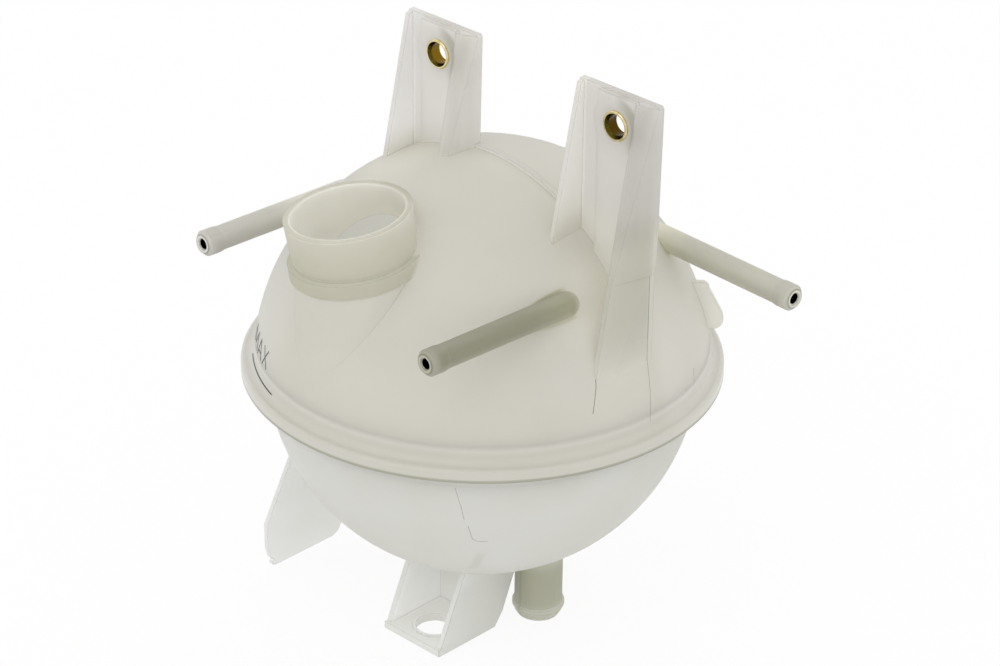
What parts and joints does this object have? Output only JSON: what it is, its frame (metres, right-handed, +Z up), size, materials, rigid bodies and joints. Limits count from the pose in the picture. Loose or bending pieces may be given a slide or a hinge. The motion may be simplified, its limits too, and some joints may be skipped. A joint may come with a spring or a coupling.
{
  "type": "coolant expansion tank",
  "caption": "Ball-shaped translucent coolant tank of two welded shells, with a filler neck, hose spigots, a bottom outlet, bolt ears with brass sleeves and feet.",
  "frame": {"origin": "midway between the two bolt holes, on the flat back of the ears", "axes": "+Z up along the tank's own axis, +Y out of the flat back of the ears, +X from the left ear to the right ear seen from the front"},
  "size_m": [0.2266, 0.198, 0.2474],
  "materials": {
    "dome_plastic": "satin, translucent",
    "bowl_plastic": "satin, translucent",
    "brass": "turned",
    "liner_steel": "dark, plain"
  },
  "bodies": {
    "root": {"upper_shell": "dome_plastic", "lower_shell": "bowl_plastic", "sleeve_left": "brass", "sleeve_right": "brass", "liner_front": "liner_steel", "liner_left": "liner_steel", "liner_right": "liner_steel"}
  },
  "joints": []
}
